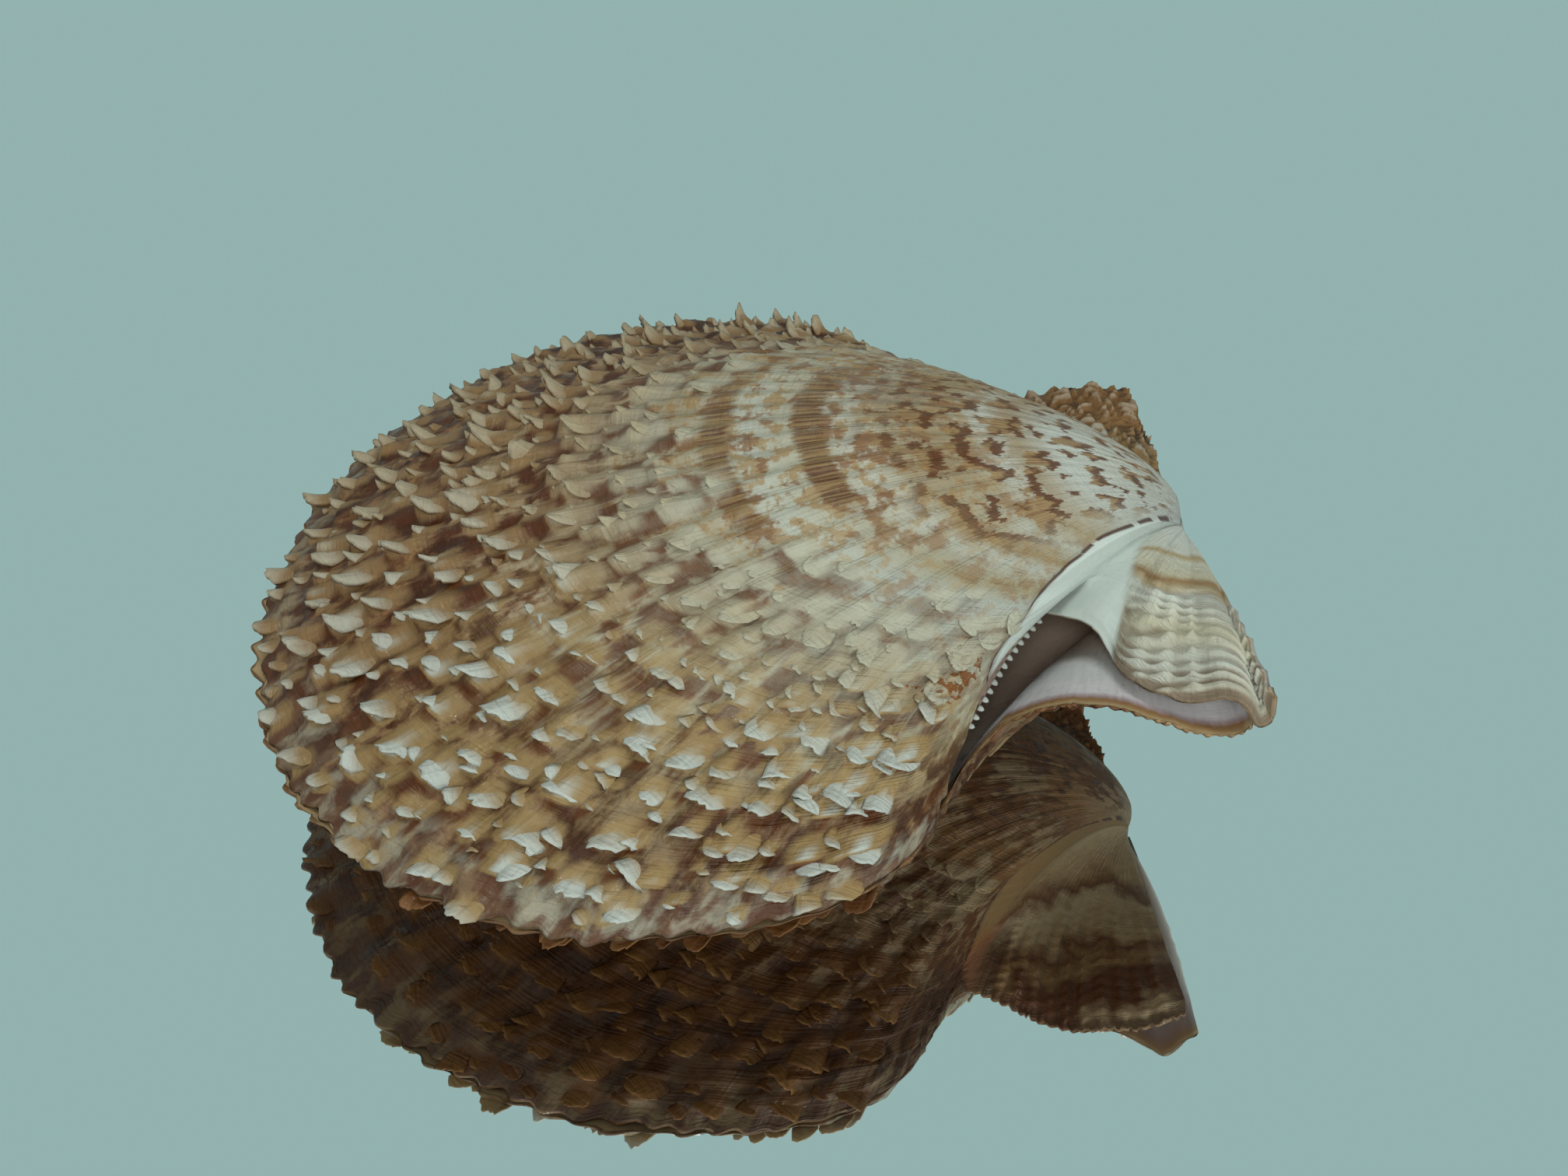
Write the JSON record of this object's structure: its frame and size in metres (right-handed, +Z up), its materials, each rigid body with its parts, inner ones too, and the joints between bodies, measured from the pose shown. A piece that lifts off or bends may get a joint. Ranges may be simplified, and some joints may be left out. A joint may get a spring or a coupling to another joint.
{
  "type": "scallop shell",
  "caption": "Closed pair of spiny, fan-ribbed scallop valves lying on the left valve, with a notched, arched front ear and a small back ear.",
  "frame": {"origin": "middle of the base of the bounding box, on the surface that the lower valve's spine tips lie on", "axes": "+X towards the beaks and the hinge, -X towards the ventral margin, -Y towards the large front ears, +Z up through the right valve"},
  "size_m": [0.0734, 0.071, 0.0278],
  "materials": {
    "right_valve": "satin calcite shell, cream and white scales on ochre-brown ribs with mauve-brown growth bands",
    "left_valve": "satin calcite shell, dark brown with cream flecks outside, porcelain white to mauve inside",
    "ligament": "dried dark brown ligament"
  },
  "bodies": {
    "root": {"right_valve": "right_valve", "left_valve": "left_valve", "hinge_ligament": "ligament"}
  },
  "joints": []
}
